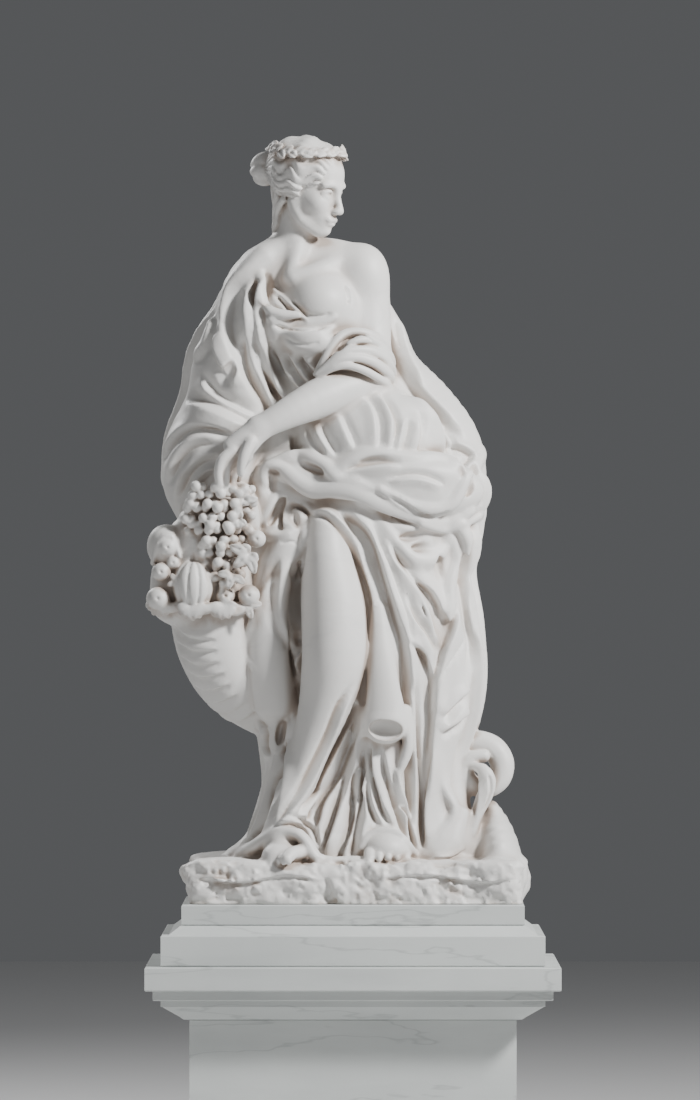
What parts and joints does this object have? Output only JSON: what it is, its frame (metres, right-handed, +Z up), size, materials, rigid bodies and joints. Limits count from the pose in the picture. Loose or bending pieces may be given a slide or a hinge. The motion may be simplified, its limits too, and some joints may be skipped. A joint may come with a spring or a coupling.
{
  "type": "classical marble statue on a plinth",
  "caption": "Standing draped female figure in white marble with a fruit-filled horn of plenty, on a rough rock base and a stepped and moulded stone plinth.",
  "frame": {"origin": "centre of the plinth's underside, on the ground", "axes": "+Z up; -Y is the front, towards which the figure's body faces; +X is the viewer's right, the side of the horn's scroll"},
  "size_m": [0.9042, 0.64, 2.413],
  "materials": {
    "statuary_marble": "fine white marble, honed and weathered matt, faint warm staining in the deep folds",
    "veined_marble": "pale grey-white marble, honed, with thin grey veins along the bed"
  },
  "bodies": {
    "root": {"statue": "statuary_marble", "plinth_top_slab": "veined_marble", "plinth_step": "veined_marble", "plinth_cap": "veined_marble", "plinth_cornice": "veined_marble", "plinth_die": "veined_marble", "plinth_base": "veined_marble"}
  },
  "joints": []
}
